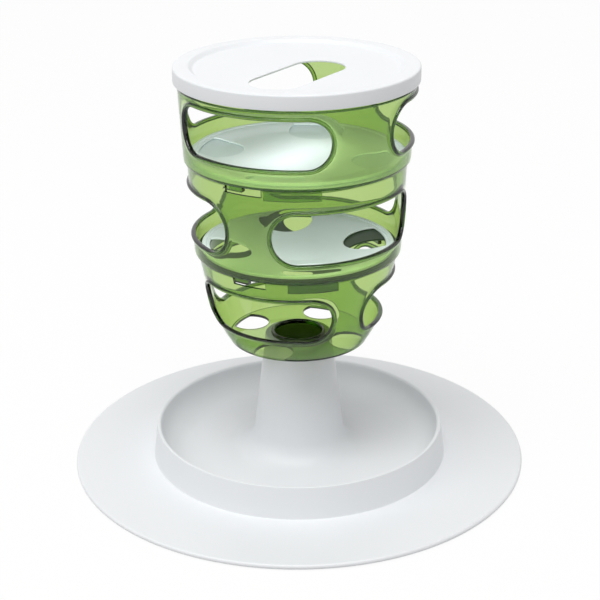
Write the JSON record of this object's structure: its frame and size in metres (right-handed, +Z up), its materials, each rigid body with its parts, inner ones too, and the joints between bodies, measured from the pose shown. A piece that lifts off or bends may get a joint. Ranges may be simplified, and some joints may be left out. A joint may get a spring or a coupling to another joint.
{
  "type": "cat food tree",
  "caption": "Free-standing cat food tree: white tray with a dish and column, see-through green stages with side windows, turning shutter discs and a slotted lid.",
  "frame": {"origin": "on the floor under the tree, at the axis of the column", "axes": "+Z up along the axis of the tree, -Y towards the front"},
  "size_m": [0.3599, 0.36, 0.3217],
  "materials": {
    "white_plastic": "smooth satin white moulding",
    "green_plastic": "clear green, polished",
    "dark_plastic": "dark grey-green moulding",
    "foot_rubber": "soft grey rubber"
  },
  "bodies": {
    "base": {"base_tray": "white_plastic", "foot_pad_1": "foot_rubber", "foot_pad_2": "foot_rubber", "foot_pad_3": "foot_rubber", "foot_pad_4": "foot_rubber"},
    "bottom_stage": {"bottom_stage": "green_plastic"},
    "middle_stage": {"middle_stage": "green_plastic", "middle_floor_plate": "dark_plastic"},
    "middle_disc": {"middle_shutter_disc": "white_plastic"},
    "top_stage": {"top_stage": "green_plastic", "top_floor_plate": "white_plastic"},
    "top_disc": {"top_shutter_disc": "white_plastic"},
    "lid": {"lid": "white_plastic"}
  },
  "joints": [
    {"name": "bottom_stage_lift", "type": "slide", "parent": "base", "child": "bottom_stage", "axis": [0, 0, 1], "range_m": [0, 0.06]},
    {"name": "middle_stage_lift", "type": "slide", "parent": "bottom_stage", "child": "middle_stage", "axis": [0, 0, 1], "range_m": [0, 0.06]},
    {"name": "top_stage_lift", "type": "slide", "parent": "middle_stage", "child": "top_stage", "axis": [0, 0, 1], "range_m": [0, 0.06]},
    {"name": "lid_lift", "type": "slide", "parent": "top_stage", "child": "lid", "axis": [0, 0, 1], "range_m": [0, 0.06]},
    {"name": "middle_disc_turn", "type": "hinge", "parent": "middle_stage", "child": "middle_disc", "pos_m": [0, 0, 0.1737], "axis": [0, 0, 1], "range_deg": [-20, 25]},
    {"name": "top_disc_turn", "type": "hinge", "parent": "top_stage", "child": "top_disc", "pos_m": [0, 0, 0.2502], "axis": [0, 0, 1], "range_deg": [0, 45]}
  ]
}
